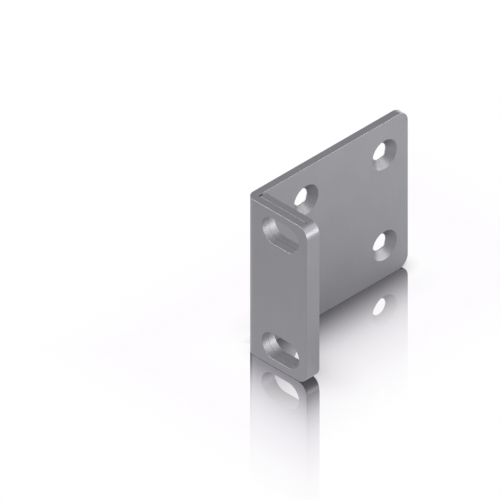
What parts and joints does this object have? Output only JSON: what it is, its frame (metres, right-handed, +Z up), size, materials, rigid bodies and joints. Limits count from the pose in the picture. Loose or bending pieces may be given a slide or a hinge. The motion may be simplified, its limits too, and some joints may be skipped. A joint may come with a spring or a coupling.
{
  "type": "rack mount ear bracket",
  "caption": "Folded sheet steel ear that fixes the side of a device to a rack post, with countersunk screw holes in the web and obround slots in a hemmed flange.",
  "frame": {"origin": "bottom centre of the whole ear's box, on the plane of the lower edges that it stands on", "axes": "+X from the device's side towards the rack post, -Y the front of the rack, +Z up along the post"},
  "size_m": [0.0196, 0.0496, 0.0428],
  "materials": {
    "zinc_plated_steel": "satin"
  },
  "bodies": {
    "root": {"ear_bracket": "zinc_plated_steel"}
  },
  "joints": []
}
